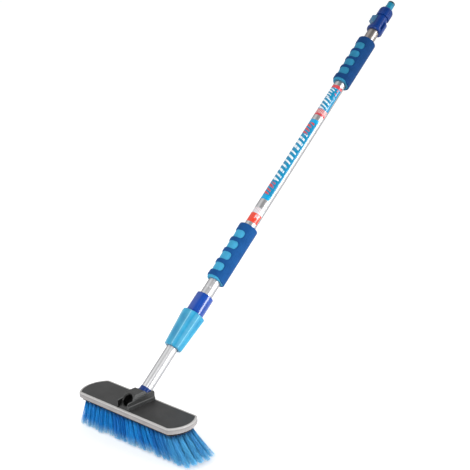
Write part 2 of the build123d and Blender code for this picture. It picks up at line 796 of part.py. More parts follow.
def all_parts():
    """Every piece by name."""
    parts = {
        "head_shell": head_shell(),
        "head_hub": head_hub(),
        "bristle_block": bristle_block(),
        "block_screws": block_screws(),
        "bumper_strip": bumper_strip(),
        "block_gasket": block_gasket(),
        "head_washer": head_washer(),
        "inner_tube": inner_tube(),
        "outer_tube": outer_tube(),
        "lock_nut": lock_nut(),
        "collet": collet(),
        "lock_body": lock_body(),
        "wiper_ring": wiper_ring(),
        "thumb_slider": thumb_slider(),
        "valve_bonnet": bonnet(),
    }
    for index in range(row_count):
        parts["bristle_row_" + str(index + 1)] = bristle_row(index)
    for name, (start, end, angle) in films.items():
        parts[name] = film(start, end, angle)
    parts["pole_ferrule"], parts["ferrule_seal"] = ferrule_parts()
    parts["piston"], parts["piston_seals"] = piston_parts()
    lower_grip = foam_grip(lower_grip_start, lower_grip_length, lower_notch_pitch)
    upper_grip = foam_grip(upper_grip_start, upper_grip_length, upper_notch_pitch)
    parts["lower_grip_core"], parts["lower_grip_cover"] = lower_grip
    parts["upper_grip_core"], parts["upper_grip_cover"] = upper_grip
    parts["valve_body"], parts["valve_seals"] = valve_body_parts()
    parts["valve_spool"], parts["spool_seals"] = spool_parts()
    parts["hose_nipple"], parts["nipple_seal"] = hose_nipple()
    return parts


os.makedirs("parts", exist_ok=True)
for node, shape in all_parts().items():
    export_step(shape, "parts/" + node + ".step")
    print(node, round(shape.volume, 1))
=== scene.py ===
from math import cos, pi, radians, sin
import bpy
import numpy as np
from mathutils import Matrix, Vector


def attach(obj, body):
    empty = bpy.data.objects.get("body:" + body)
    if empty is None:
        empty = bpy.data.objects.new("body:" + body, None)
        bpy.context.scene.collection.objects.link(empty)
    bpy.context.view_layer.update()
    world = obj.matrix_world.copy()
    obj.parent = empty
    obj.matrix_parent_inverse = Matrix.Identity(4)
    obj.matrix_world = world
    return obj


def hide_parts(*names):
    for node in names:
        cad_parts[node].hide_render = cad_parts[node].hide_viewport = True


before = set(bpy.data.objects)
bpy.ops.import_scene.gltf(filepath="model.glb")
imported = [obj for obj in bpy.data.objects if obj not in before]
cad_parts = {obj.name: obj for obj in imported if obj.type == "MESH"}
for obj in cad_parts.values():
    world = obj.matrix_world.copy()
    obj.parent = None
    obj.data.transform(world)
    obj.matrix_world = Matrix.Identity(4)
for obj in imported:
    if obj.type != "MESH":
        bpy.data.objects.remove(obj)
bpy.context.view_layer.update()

mm = 0.001
rng = np.random.default_rng(7)

# The pole's own axes: side across it, under square to it and downwards, along up the pole, from its foot on
# the head; lengths in metres
pole = {"angle": 40.0, "foot": (0.0, 0.003, 0.072)}
poleAngle = radians(pole["angle"])
poleFoot = np.array(pole["foot"])
poleSide = np.array([1.0, 0.0, 0.0])
poleUnder = np.array([0.0, sin(poleAngle), -cos(poleAngle)])
poleAlong = np.array([0.0, cos(poleAngle), sin(poleAngle)])


# Camera

camera = {
    "place": (1.4022, -1.1081, 0.8818),
    "right": (0.71239, 0.70016, -0.04777),
    "forward": (-0.68446, 0.67816, -0.26760),
    "lens": 79.05,
    "sensor": 36.0,
    "farthest": 50,
}


def makeCamera():
    data = bpy.data.cameras.new("viewCamera")
    data.lens = camera["lens"]
    data.sensor_width = camera["sensor"]
    data.dof.use_dof = False
    data.clip_end = camera["farthest"]
    obj = bpy.data.objects.new("viewCamera", data)
    right = Vector(camera["right"]).normalized()
    back = -Vector(camera["forward"]).normalized()
    up = back.cross(right).normalized()
    turn = Matrix((right, up, back)).transposed().to_4x4()
    obj.matrix_world = Matrix.Translation(camera["place"]) @ turn
    bpy.context.scene.collection.objects.link(obj)
    bpy.context.scene.camera = obj


makeCamera()


# Shader maths

class Wire:
    # An output socket that takes part in Python maths; each operation adds one Math node
    def __init__(self, look, socket):
        self.look = look
        self.socket = socket

    def maths(self, operation, *values):
        return self.look.node("ShaderNodeMath", {"operation": operation}, dict(enumerate(values)))

    def __add__(self, other):
        return self.maths("ADD", self, other)

    def __radd__(self, other):
        return self.maths("ADD", other, self)

    def __sub__(self, other):
        return self.maths("SUBTRACT", self, other)

    def __rsub__(self, other):
        return self.maths("SUBTRACT", other, self)

    def __mul__(self, other):
        return self.maths("MULTIPLY", self, other)

    def __rmul__(self, other):
        return self.maths("MULTIPLY", other, self)

    def __truediv__(self, other):
        return self.maths("DIVIDE", self, other)

    def size(self):
        return self.maths("ABSOLUTE", self)

    def over(self, edge):
        return self.maths("GREATER_THAN", self, edge)

    def under(self, edge):
        return self.maths("LESS_THAN", self, edge)

    def whole(self):
        return self.maths("FLOOR", self)

    def part(self):
        return self.maths("FRACT", self)

    def most(self, other):
        return self.maths("MAXIMUM", self, other)

    def chance(self, seed):
        # A steady random number from 0 to 1 for each whole value
        return self.look.node("ShaderNodeTexWhiteNoise", {"noise_dimensions": "1D"},
                              {"W": self + seed}, "Value")

    def ramp(self, low, high, fromValue=0.0, toValue=1.0):
        # A smooth step from one value at low to the other at high
        return self.look.node("ShaderNodeMapRange", {"interpolation_type": "SMOOTHSTEP"},
                              {"Value": self, "From Min": low, "From Max": high,
                               "To Min": fromValue, "To Max": toValue})


class Look:
    # One material round a Principled shader; constants are set on the shader's own sockets
    def __init__(self, name, **constants):
        self.material = bpy.data.materials.new(name)
        self.material.use_nodes = True
        self.tree = self.material.node_tree
        self.shader = self.tree.nodes["Principled BSDF"]
        for socket, value in constants.items():
            self.shader.inputs[socket.replace("_", " ")].default_value = value

    def node(self, kind, settings, inputs, output=0):
        made = self.tree.nodes.new(kind)
        for name, value in settings.items():
            setattr(made, name, value)
        for key, value in inputs.items():
            if isinstance(value, Wire):
                self.tree.links.new(value.socket, made.inputs[key])
            else:
                made.inputs[key].default_value = value
        return Wire(self, made.outputs[output])

    def feed(self, socket, wire):
        self.tree.links.new(wire.socket, self.shader.inputs[socket])

    def place(self):
        return self.node("ShaderNodeTexCoord", {}, {}, "Object")

    def noise(self, scale, detail, roughness=0.5, vector=None):
        return self.node("ShaderNodeTexNoise", {}, {"Vector": vector or self.place(), "Scale": scale,
                                                    "Detail": detail, "Roughness": roughness})

    def cells(self, scale):
        return self.node("ShaderNodeTexVoronoi", {}, {"Vector": self.place(), "Scale": scale}, "Distance")

    def mix(self, share, first, second):
        # A Mix node takes its two colours at inputs 6 and 7 and gives the mixed one at output 2
        first = first if isinstance(first, Wire) else (*first, 1)
        second = second if isinstance(second, Wire) else (*second, 1)
        return self.node("ShaderNodeMix", {"data_type": "RGBA"}, {0: share, 6: first, 7: second}, 2)

    def bump(self, height, strength, distance):
        normal = self.node("ShaderNodeBump", {},
                           {"Height": height, "Strength": strength, "Distance": distance})
        self.feed("Normal", normal)

    def grain(self, scale, smoothest, roughest):
        # A fine noise sets the roughness between two values and gives the skin its grain
        fine = self.noise(scale, grain["detail"], grain["roughness"])
        self.feed("Roughness", fine.ramp(*grain["spread"], smoothest, roughest))
        self.bump(fine, grain["strength"], grain["depth"])
        return fine

    def drift(self, scale, first, second):
        # One colour drifts to the other by a smooth step of a broad noise
        return self.mix(self.noise(scale, 4).ramp(0.3, 0.7), first, second)

    def attribute(self, name):
        return self.node("ShaderNodeAttribute", {"attribute_name": name}, {}, "Fac")

    def placeFrom(self, point):
        return self.node("ShaderNodeVectorMath", {"operation": "SUBTRACT"}, {0: self.place(), 1: point})

    def reach(self, vector, axis):
        # How far a vector reaches along an axis: their dot product
        return self.node("ShaderNodeVectorMath", {"operation": "DOT_PRODUCT"}, {0: vector, 1: axis}, "Value")

    def onPole(self):
        # The pole's own coordinates: how far the place reaches across, under and along from the pole's foot
        fromFoot = self.placeFrom(tuple(poleFoot))
        return [self.reach(fromFoot, tuple(axis)) for axis in (poleSide, poleUnder, poleAlong)]

    def together(self, x, y, z):
        return self.node("ShaderNodeCombineXYZ", {}, {0: x, 1: y, 2: z})


# Moulded and rubber finishes

grain = {"detail": 5, "roughness": 0.7, "spread": (0.25, 0.75), "strength": 0.25, "depth": 0.00025}


def toned(colour, share):
    return tuple(value * share for value in colour)


def mouldedLook(name, colour, roughness, grainScale, coat=0.0, gloss=0.25):
    look = Look(name, Roughness=roughness, Coat_Weight=coat, Coat_Roughness=0.12, Specular_IOR_Level=gloss)
    pale = tuple(min(1, value * 1.12 + 0.002) for value in colour)
    look.feed("Base Color", look.drift(35, toned(colour, 0.86), pale))
    look.grain(grainScale, max(0.03, roughness - 0.08), min(1, roughness + 0.1))
    return look.material


looks = {
    "head": mouldedLook("headGrain", (0.036, 0.036, 0.036), 0.5, 1500, 0.0, 0.4),
    "block": mouldedLook("blockGrain", (0.012, 0.012, 0.014), 0.5, 1200),
    "seal": mouldedLook("sealRubber", (0.018, 0.018, 0.018), 0.5, 900),
    "navy": mouldedLook("navyMoulding", (0.001, 0.030, 0.18), 0.3, 700, 0.2, 0.15),
    "royal": mouldedLook("royalMoulding", (0.001, 0.052, 0.34), 0.2, 500, 1.0, 0.1),
    "thumb": mouldedLook("thumbMoulding", (0.045, 0.13, 0.23), 0.42, 900, 0.1),
    "natural": mouldedLook("naturalMoulding", (0.72, 0.71, 0.66), 0.45, 800),
}


# Places on the hub in millimetres from the spare socket's foot, which is itself in metres
hub = {
    "foot": (0, -0.003, 0.072),
    "axis": (0.0, -cos(poleAngle), sin(poleAngle)),
    "socketRadius": 13.6,
    "socketEnd": 22.45,
    "endSide": 13.7,
    "endBack": -15.5,
    "endLow": 0.3,
    "endBelowTop": 0.9,
    "endAlong": 22.3,
    "cheekHeight": 14.0,
    "cheekPlace": -29.5,
    "cheekSlope": 0.1,
    "cheekSide": 13.2,
    "cheekBelowTop": 0.7,
    "ledgeSide": 15.7,
    "ledge": (6.8, 8.3),
    "deep": (0.012, 0.013, 0.013),
    "pale": (0.022, 0.023, 0.023),
    # The next colour is a painted highlight for the cheek tops and ledges, the last one painted shade for the
    # socket and end
    "paintedHighlight": (0.105, 0.108, 0.108),
    "paintedShade": (0.002, 0.002, 0.002),
}


def hubLook():
    # Head plastic, painted black as painted shade in the spare socket and on the recessed end round it, and
    # with a painted highlight along the tops of the cheeks, whose height falls evenly towards the end, and
    # along the ledges
    look = Look("hubGrain", Roughness=0.4, Specular_IOR_Level=0.4, Coat_Weight=0.25, Coat_Roughness=0.22)
    fine = look.grain(1400, 0.36, 0.55)
    fromFoot = look.placeFrom(hub["foot"])
    x, y, z = (look.reach(fromFoot, axis) * 1000 for axis in ((1, 0, 0), (0, 1, 0), (0, 0, 1)))
    along = look.reach(fromFoot, hub["axis"]) * 1000
    length = look.node("ShaderNodeVectorMath", {"operation": "LENGTH"}, {0: fromFoot}, "Value") * 1000
    away = look.node("ShaderNodeMath", {"operation": "SQRT"}, {0: length * length - along * along})
    # Painted shade in black: the spare socket's bore and the recessed end face round it
    hollow = away.under(hub["socketRadius"]) * along.under(hub["socketEnd"]) * along.over(0.0)
    cheekTop = hub["cheekHeight"] + (y - hub["cheekPlace"]) * hub["cheekSlope"]
    end = x.under(hub["endSide"]) * y.under(hub["endBack"])
    end = end * z.over(hub["endLow"]) * z.under(cheekTop - hub["endBelowTop"])
    paintedShade = hollow.most(end * along.over(hub["endAlong"]))
    wide = x.size()
    cheek = wide.over(hub["cheekSide"]) * z.over(cheekTop - hub["cheekBelowTop"])
    ledge = wide.over(hub["ledgeSide"]) * z.over(hub["ledge"][0]) * z.under(hub["ledge"][1])
    # Painted highlight along the cheek tops and ledges, broken up by the grain
    paintedHighlight = cheek.most(ledge) * fine.ramp(0.3, 0.7, 0.5, 1.0)
    skin = look.mix(paintedHighlight, look.drift(45, hub["deep"], hub["pale"]), hub["paintedHighlight"])
    look.feed("Base Color", look.mix(paintedShade, skin, hub["paintedShade"]))
    return look.material


looks["hub"] = hubLook()


# Heights on the bumper, in millimetres, and its colours: top and edge are painted highlights, line is a
# painted shade line
bumper = {
    "deep": (0.29, 0.27, 0.265),
    "pale": (0.36, 0.34, 0.335),
    "top": (0.52, 0.51, 0.50),
    "topHeights": (69.4, 70.6),
    "line": (0.19, 0.18, 0.175),
    "lineHeight": 68.6,
    "lineSpread": (0.35, 0.7),
    "edge": (0.50, 0.45, 0.43),
    "edgeHeights": (62.0, 63.2),
}


def bumperLook():
    # Warm grey rubber with a painted highlight on the rounded top and on the lower edge, and a thin painted
    # shade line under the top, by height
    look = Look("bumperRubber", Roughness=0.45, Specular_IOR_Level=0.4, Coat_Weight=0.1, Coat_Roughness=0.2)
    height = look.reach(look.place(), (0, 0, 1000))
    fromLine = (height - bumper["lineHeight"]).size()
    skin = look.drift(35, bumper["deep"], bumper["pale"])
    # Painted highlight on the top, painted shade line under it, painted highlight on the lower edge
    skin = look.mix(height.ramp(*bumper["topHeights"]), skin, bumper["top"])
    skin = look.mix(fromLine.ramp(*bumper["lineSpread"], 0.6, 0.0), skin, bumper["line"])
    skin = look.mix(height.ramp(*bumper["edgeHeights"], 0.7, 0.0), skin, bumper["edge"])
    look.feed("Base Color", skin)
    look.grain(1100, 0.38, 0.55)
    return look.material


looks["bumper"] = bumperLook()

# Metres along the pole from its foot between which each finish grows darker: painted shade on the upper
# grip and on the nipple's tip; and what the tube darkens to
darker = {"foam": (0.5, 0.8), "tube": (0.90, 0.94), "nippleTip": (1.0445, 1.0465)}
tubeTopColour = (0.37, 0.34, 0.325)


def metalLook(name, colour, roughness, streak):
    # Drawn tube: a noise stretched along the pole gives fine lengthwise streaks in colour, gloss and height;
    # the rim, where the surface turns away from the view, is painted darker as painted shade, and the tube is
    # darker and browner towards the top of the pole
    look = Look(name, Metallic=1.0, Roughness=roughness, Specular_Tint=(0.5, 0.5, 0.52, 1))
    across, under, along = look.onPole()
    drawn = look.noise(160, 2, 0.5, look.together(across, under, along * streak))
    cloud = look.noise(18, 3)
    facing = look.node("ShaderNodeLayerWeight", {}, {"Blend": 0.5}, "Facing")
    skin = look.mix(drawn * 0.6 + cloud * 0.4, toned(colour, 0.86), colour)
    # Darker and browner towards the top of the pole
    skinTowardsTop = look.mix(along.ramp(*darker["tube"]), skin, tubeTopColour)
    # Painted shade: the rim darkens where the surface turns away from the view
    look.feed("Base Color", look.mix(facing.ramp(0.5, 0.95), skinTowardsTop, toned(colour, 0.45)))
    look.feed("Roughness", (drawn * 0.5 + cloud * 0.5).ramp(0.3, 0.7, roughness - 0.04, roughness + 0.06))
    look.bump(drawn, 0.02, 0.0001)
    return look.material


looks["tube"] = metalLook("drawnAluminium", (0.62, 0.62, 0.63), 0.36, 0.02)
looks["steel"] = metalLook("platedSteel", (0.6, 0.6, 0.6), 0.3, 1.0)


# tip is the painted shade on the end of the nipple
nippleColours = {"deep": (0.003, 0.17, 0.29), "pale": (0.006, 0.23, 0.37), "tip": (0.001, 0.055, 0.085)}


def nippleLook():
    # Sea-blue moulding, with painted shade on the last few millimetres of its tip
    look = Look("aquaMoulding", Roughness=0.28, Specular_IOR_Level=0.25, Coat_Weight=0.15,
                Coat_Roughness=0.15)
    along = look.onPole()[2]
    fine = look.grain(700, 0.22, 0.38)
    skin = look.mix(fine.ramp(0.3, 0.7), nippleColours["deep"], nippleColours["pale"])
    # Painted shade on the tip
    look.feed("Base Color", look.mix(along.ramp(*darker["nippleTip"]), skin, nippleColours["tip"]))
    return look.material


looks["aqua"] = nippleLook()


# ridge is the colour of the painted highlight along the nut's ridges
nutColours = {"deep": (0.008, 0.25, 0.47), "pale": (0.018, 0.33, 0.55), "ridge": (0.30, 0.68, 0.84)}


def nutLook():
    # Satin moulding with a painted highlight along its ridges; the ridge attribute is one along each ridge
    look = Look("skyMoulding", Roughness=0.3, Specular_IOR_Level=0.3, Coat_Weight=0.25, Coat_Roughness=0.15)
    fine = look.grain(700, 0.24, 0.4)
    skin = look.drift(40, nutColours["deep"], nutColours["pale"])
    paintedHighlight = look.attribute("ridge") * fine.ramp(0.3, 0.7, 0.45, 1.0)
    look.feed("Base Color", look.mix(paintedHighlight, skin, nutColours["ridge"]))
    return look.material


looks["nut"] = nutLook()


def foamLook(name, colour, pale, upperShade):
    # Closed-cell foam: small cells pit the surface, and the skin is lighter between pits, painted shade in
    # the pits mixed with a soft noise of tone. The upper grip is darker by painted shade, by the place along
    # the pole
    look = Look(name, Roughness=0.8, Specular_IOR_Level=0.15, Sheen_Weight=0.04, Sheen_Roughness=0.4)
    pits = look.cells(1400)
    soft = look.noise(60, 3)
    skin = look.noise(2600, 3)
    # Painted shade in the pits, mixed with a soft noise of tone
    foam = look.mix((pits * 0.5 + soft * 0.7).ramp(0.2, 0.75), colour, pale)
    along = look.onPole()[2]
    # Painted shade on the upper grip, mottled by the soft noise
    shadedUpper = look.mix(soft.ramp(0.3, 0.7), upperShade, toned(upperShade, 1.2))
    look.feed("Base Color", look.mix(along.ramp(*darker["foam"], 0.0, 0.85), foam, shadedUpper))
    look.bump(pits * 0.6 + skin * 0.4, 0.5, 0.0004)
    return look.material


# The last colour of each foam is the painted shade on the upper grip
looks["gripCover"] = foamLook("gripCoverFoam", (0.003, 0.054, 0.20), (0.008, 0.084, 0.28),
                              (0.002, 0.036, 0.135))
looks["gripCore"] = foamLook("gripCoreFoam", (0.035, 0.29, 0.50), (0.060, 0.38, 0.62), (0.018, 0.17, 0.30))


# The bristles pale towards the swept end, a painted light on the end that faces the light, between two
# places along the head, in metres
bristleColours = {
    # root is painted shade at the foot of the tufts; the tip colours are partly painted light
    "root": (0.001, 0.035, 0.18),
    "bodyDeep": (0.002, 0.19, 0.68),
    "bodyPale": (0.014, 0.44, 0.98),
    "bodySwept": (0.15, 0.60, 0.90),
    "tipDeep": (0.10, 0.50, 0.84),
    "tipPale": (0.50, 0.80, 0.92),
    "tipSwept": (0.16, 0.58, 0.90),
    "sweptEnd": (0.06, 0.17),
}


def bristleLook():
    # Blue filament: deep at the root as painted shade among the tufts, pale and whitish towards the split
    # tip, partly painted light on the tips, paler at the swept end of the head as painted light, each
    # filament and tuft its own random tone
    look = Look("bristleFibre", Roughness=0.42, Specular_IOR_Level=0.35)
    tip = look.attribute("tip")
    shade = look.attribute("shade")
    # Painted light on the swept end of the head
    swept = look.reach(look.place(), (1, 0, 0)).ramp(*bristleColours["sweptEnd"])
    body = look.mix(shade, bristleColours["bodyDeep"], bristleColours["bodyPale"])
    body = look.mix(swept * (0.45 + 0.5 * shade), body, bristleColours["bodySwept"])
    ends = look.mix(shade, bristleColours["tipDeep"], bristleColours["tipPale"])
    # Painted shade at the root
    root = look.mix(tip.ramp(0.0, 0.3), bristleColours["root"], body)
    ends = look.mix(swept, ends, bristleColours["tipSwept"])
    look.feed("Base Color", look.mix(tip.ramp(0.66, 1.05), root, ends))
    return look.material


looks["bristle"] = bristleLook()


# Printed film: colour fields and plain slanted bars, in the pole's own coordinates

# A sheet's fields are colour bands along the pole: start, end, colour. Its bars are rows of slanted bars:
# start, end, lower and upper angle round the pole, pitch, share of the pitch inked, colour
film = {
    "blue": (0.004, 0.26, 0.48),
    "bright": (0.002, 0.35, 0.66),
    "scarlet": (0.80, 0.060, 0.030),
    "red": (0.60, 0.060, 0.075),
    "faded": (0.66, 0.42, 0.42),
    "white": (0.76, 0.84, 0.88),
    "slant": 5.5,
    "ragged": 0.25,
    "nick": 0.07,
    "nickInk": 0.3,
    "lower": {
        "ground": "white",
        "fields": [(425, 446.7, "scarlet")],
        "bars": [(447, 460, -1.5, 1.6, 4.2, 0.35, "faded"), (436, 446, 0.5, 1.5, 3.4, 0.45, "white")],
    },
    "middle": {
        "ground": "blue",
        "fields": [(482, 493, "bright"), (688, 697, "bright")],
        "bars": [(495, 525, -1.2, 0.75, 9.5, 0.5, "red"), (531, 655, -1.2, 0.95, 12.4, 0.42, "white"),
                 (657, 687, -1.2, 0.85, 9.5, 0.5, "red")],
    },
    "upper": {
        "ground": "blue",
        "fields": [(709, 714.5, "red"), (714.5, 725.8, "faded"), (785.8, 794, "red")],
        "bars": [(715, 725.8, -1.6, 1.7, 3.6, 0.4, "red"), (727, 758, -1.3, 1.25, 9.6, 0.4, "white"),
                 (759, 785.5, -1.3, 0.65, 7.0, 0.4, "white"), (759, 783, 0.85, 1.25, 8.5, 0.5, "red")],
    },
}


def filmLook(name, sheet):
    # A bar's place is the place along the pole plus the slant times the angle, less the row's start, over
    # the pitch; each bar is a little wider or shorter, and nicked at one angle, by chance
    look = Look(name, Roughness=0.24, Specular_IOR_Level=0.3, Coat_Weight=0.25, Coat_Roughness=0.1)
    across, under, along = look.onPole()
    place = along * 1000
    turn = look.node("ShaderNodeMath", {"operation": "ARCTAN2"}, {0: across, 1: under * -1})
    mottle = look.noise(260, 3)
    ground = film[sheet["ground"]]
    colour = look.mix(mottle.ramp(0.25, 0.75), toned(ground, 0.86), ground)
    for start, end, ink in sheet["fields"]:
        inside = place.over(start) * place.under(end)
        colour = look.mix(inside, colour, film[ink])
    for seed, (start, end, low, high, pitch, width, ink) in enumerate(sheet["bars"]):
        slanted = (place + turn * film["slant"] - start) / pitch
        bar = slanted.whole()
        wide = slanted.part().under(width * (0.7 + 0.6 * bar.chance(seed * 7.3)))
        inside = place.over(start) * place.under(end)
        above = turn.over(low + film["ragged"] * bar.chance(seed + 31.7))
        below = turn.under(high - film["ragged"] * bar.chance(seed + 53.1))
        nick = (turn - (low + (high - low) * bar.chance(seed + 91.9))).size().over(film["nick"])
        inked = inside * (above * below) * wide * nick.most(film["nickInk"])
        colour = look.mix(inked, colour, film[ink])
    rub = look.noise(500, 4)
    look.feed("Base Color", look.mix(rub.ramp(0.62, 0.8, 0.0, 0.12), colour, (0.8, 0.8, 0.8)))
    look.feed("Roughness", rub.ramp(0.3, 0.7, 0.18, 0.34))
    return look.material


def dressFrame():
    # Each CAD piece gets its finish; the soft ones are replaced further down
    finishes = {
        "head": ["head_shell"],
        "hub": ["head_hub"],
        "block": ["bristle_block"],
        "bumper": ["bumper_strip"],
        "seal": ["block_gasket", "head_washer", "ferrule_seal", "piston_seals", "wiper_ring", "valve_seals",
                 "spool_seals", "nipple_seal"],
        "navy": ["pole_ferrule", "valve_body", "valve_bonnet"],
        "royal": ["lock_body"],
        "nut": ["lock_nut"],
        "aqua": ["hose_nipple"],
        "thumb": ["thumb_slider"],
        "natural": ["piston", "collet", "valve_spool"],
        "tube": ["inner_tube", "outer_tube"],
        "steel": ["block_screws"],
    }
    for finish, nodes in finishes.items():
        for node in nodes:
            paint(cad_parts[node], looks[finish])
    for name in ("lower", "middle", "upper"):
        paint(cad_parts["label_" + name], filmLook("film" + name.capitalize(), film[name]))


def paint(obj, material):
    obj.data.materials.clear()
    obj.data.materials.append(material)


dressFrame()
print("frame dressed")


# Meshes from grids

def meshPiece(name, points, faces, material, body):
    data = bpy.data.meshes.new(name)
    points = np.asarray(points, dtype=np.float32).reshape(-1, 3)
    faces = np.asarray(faces, dtype=np.int32)
    sides = faces.shape[1]
    data.vertices.add(len(points))
    data.vertices.foreach_set("co", points.ravel())
    data.loops.add(faces.size)
    data.loops.foreach_set("vertex_index", faces.ravel())
    data.polygons.add(len(faces))
    data.polygons.foreach_set("loop_start", np.arange(len(faces), dtype=np.int32) * sides)
    data.polygons.foreach_set("use_smooth", np.full(len(faces), True))
    data.update(calc_edges=True)
    data.validate()
    obj = bpy.data.objects.new(name, data)
    bpy.context.scene.collection.objects.link(obj)
    data.materials.append(material)
    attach(obj, body)
    return obj


def floatAttribute(obj, name, values):
    layer = obj.data.attributes.new(name, "FLOAT", "POINT")
    layer.data.foreach_set("value", np.asarray(values, dtype=np.float32).ravel())


def gridFaces(rows, columns, closedRows):
    # Quads between neighbours of a rows by columns grid; each row closes on itself, and so may the rows
    r, c = np.meshgrid(np.arange(rows if closedRows else rows - 1), np.arange(columns), indexing="ij")
    nextR = (r + 1) % rows
    nextC = (c + 1) % columns
    quads = np.stack([r * columns + c, r * columns + nextC, nextR * columns + nextC, nextR * columns + c], -1)
    return quads.reshape(-1, 4)


def roundPoints(radius, along, angle):
    # Radius and place along the pole, in millimetres, at an angle from the pole's upper side
    radius, along, angle = np.broadcast_arrays(radius, along, angle)
    across = radius * np.sin(angle)
    under = -radius * np.cos(angle)
    place = across[..., None] * poleSide + under[..., None] * poleUnder + along[..., None] * poleAlong
    return poleFoot + place * mm


def smoothStep(values, low, high):
    share = np.clip((values - low) / (high - low), 0, 1)
    return share * share * (3 - 2 * share)


# Foam grips

# Lengths in millimetres, angles in degrees from the pole's upper side
grip = {
    "cover": 20.3,
    "core": 18.2,
    "hole": 12.6,
    "overlap": 0.3,
    "coreInset": 0.4,
    "endRadius": 1.8,
    "endSteps": 9,
    "skinSteps": 232,
    "boreSteps": 12,
    "columns": 168,
    "notches": 4,
    "notchLength": 19.2,
    "notchAngle": 129.0,
    "notchTurn": -14.0,
    "corner": 8.0,
    "windowEdge": (-1.6, 0.2),
    "windowBelow": 0.5,
    "lip": 0.3,
    "lipWidth": 1.2,
    "lipPlace": 1.0,
    "lipStart": -0.4,
    "swell": 0.12,
    "cutBack": 5.0,
    "cutBackTurn": (55, 105),
    "cutBackLength": 14,
    "lower": {"start": 282.0, "length": 133.0, "pitch": 26.8},
    "upper": {"start": 806.0, "length": 124.0, "pitch": 24.2},
}


def windowDistance(along, angle, place):
    # Signed distance from the nearest finger window's rounded edge, measured on the grip's skin
    pitch = place["pitch"]
    first = place["start"] + (place["length"] - (grip["notches"] - 1) * pitch) / 2
    nearest = np.clip(np.round((along - first) / pitch), 0, grip["notches"] - 1)
    lengthwise = np.abs(along - first - nearest * pitch) - grip["notchLength"] / 2 + grip["corner"]
    fromMiddle = np.abs(angle - radians(grip["notchTurn"]))
    girth = (fromMiddle - radians(grip["notchAngle"] / 2)) * grip["cover"] + grip["corner"]
    outside = np.hypot(np.maximum(lengthwise, 0), np.maximum(girth, 0))
    inside = np.minimum(np.maximum(lengthwise, girth), 0)
    return outside + inside - grip["corner"]


def gripShell(name, place, outer, inner, endInset, windows, material, node):
    # Closed shell: outside from end to end with rounded rims, then the bore back. A window pulls the outside
    # down by a smooth step of its signed distance, and a bell curve of the distance sinks the skin a little
    # round it. The cover's lower end is cut back on the windows' side; a core swells by a sine
    start = place["start"]
    low = start + endInset
    high = start + place["length"] - endInset
    rim = grip["endRadius"]
    curve = np.linspace(0, pi / 2, grip["endSteps"])
    lowRim = np.stack([outer - rim + rim * np.sin(curve), low + rim - rim * np.cos(curve)], -1)
    highRim = np.stack([outer - rim + rim * np.cos(curve), high - rim + rim * np.sin(curve)], -1)
    straight = np.linspace(low + rim, high - rim, grip["skinSteps"])[1:-1]
    skin = np.stack([np.full_like(straight, outer), straight], -1)
    back = np.linspace(high, low, grip["boreSteps"])
    bore = np.stack([np.full_like(back, inner), back], -1)
    profile = np.concatenate([lowRim, skin, highRim, bore])
    angle = np.linspace(-pi, pi, grip["columns"], endpoint=False)
    along = np.repeat(profile[:, 1:2], len(angle), 1)
    radius = np.repeat(profile[:, :1], len(angle), 1)
    isSkin = (radius > inner + 0.2).astype(float)
    if windows:
        turnAway = np.abs((angle - radians(grip["notchTurn"]) + pi) % (2 * pi) - pi)
        cut = grip["cutBack"] * (1 - smoothStep(turnAway, *np.radians(grip["cutBackTurn"])))
        nearLow = np.clip(1 - (along - low) / grip["cutBackLength"], 0, 1)
        along = along + cut[None, :] * nearLow
        distance = windowDistance(along, angle[None, :], place)
        depth = 1 - smoothStep(distance, *grip["windowEdge"])
        bell = np.exp(-((distance - grip["lipPlace"]) / grip["lipWidth"]) ** 2)
        lip = grip["lip"] * bell * (distance > grip["lipStart"])
        radius = radius - isSkin * (depth * (outer - inner + grip["windowBelow"]) + lip)
    else:
        swell = grip["swell"] * np.sin((along - start) * 2 * pi / place["pitch"])
        radius = radius + isSkin * swell
    points = roundPoints(radius, along, angle[None, :])
    faces = gridFaces(len(profile), len(angle), True)
    piece = meshPiece(name, points, faces, material, "outer_pole")
    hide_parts(node)


def makeGrips():
    for end in ("lower", "upper"):
        place = grip[end]
        gripShell(end + "GripCoverFoam", place, grip["cover"], grip["core"] - grip["overlap"], 0.0, True,
                  looks["gripCover"], end + "_grip_cover")
        gripShell(end + "GripCoreFoam", place, grip["core"], grip["hole"], grip["coreInset"], False,
                  looks["gripCore"], end + "_grip_core")


makeGrips()
print("grips made")


# Lock nut

# Lengths in millimetres, angles in degrees; inside is the bore, point by point: radius, place along the pole
nut = {
    "start": 124.0,
    "end": 203.0,
    "smallRadius": 19.4,
    "largeRadius": 25.5,
    "facets": 8,
    "facetSteps": 26,
    "rows": 64,
    "firstRidge": 27.0,
    "hollow": 1.0,
    "ridgeRound": 0.35,
    "ridgeSpread": 2.2,
    # paleSpread and paleShare shape the painted highlight round each ridge
    "paleSpread": 11,
    "paleShare": 0.2,
    "rim": 2.0,
    "endNick": 1.3,
    "endNickSpread": 6,
    "endNickLength": 12,
    "inside": [(18.4, 203.0), (18.4, 190.2), (15.7, 190.0), (15.7, 155.0), (12.5, 137.0), (11.4, 136.8),
               (11.4, 124.0)],
}


